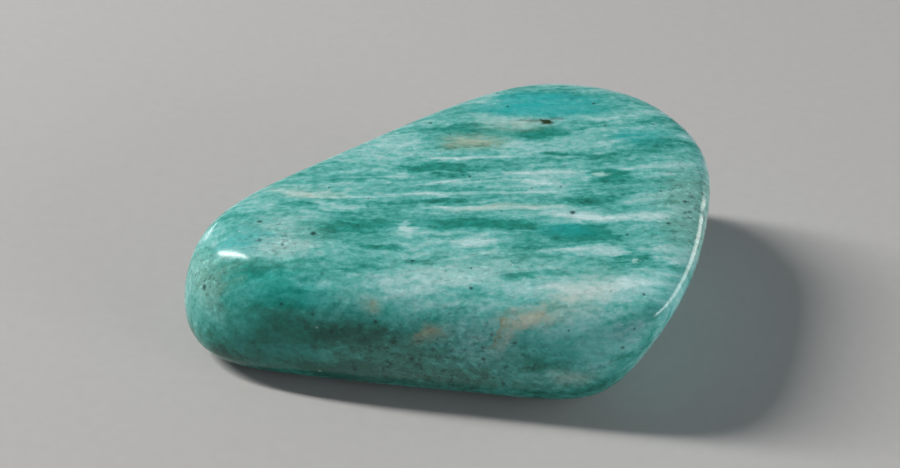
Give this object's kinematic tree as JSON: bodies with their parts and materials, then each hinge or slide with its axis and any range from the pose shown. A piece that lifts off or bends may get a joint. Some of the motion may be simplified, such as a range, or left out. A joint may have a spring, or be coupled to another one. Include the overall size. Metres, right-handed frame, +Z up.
{
  "type": "tumbled amazonite stone",
  "caption": "Polished amazonite pebble for display: flattish, with a rounded-triangle outline, worn edges and a flat underside to lie on.",
  "frame": {"origin": "middle of the bounding box, on the surface that the stone lies on", "axes": "+Z up through the stone's top; +X along the stone, from its narrow end to its broad end; +Y away from its tall front wall"},
  "size_m": [0.0448, 0.0329, 0.0137],
  "materials": {
    "amazonite": "polished"
  },
  "bodies": {
    "root": {"amazonite_stone": "amazonite"}
  },
  "joints": []
}
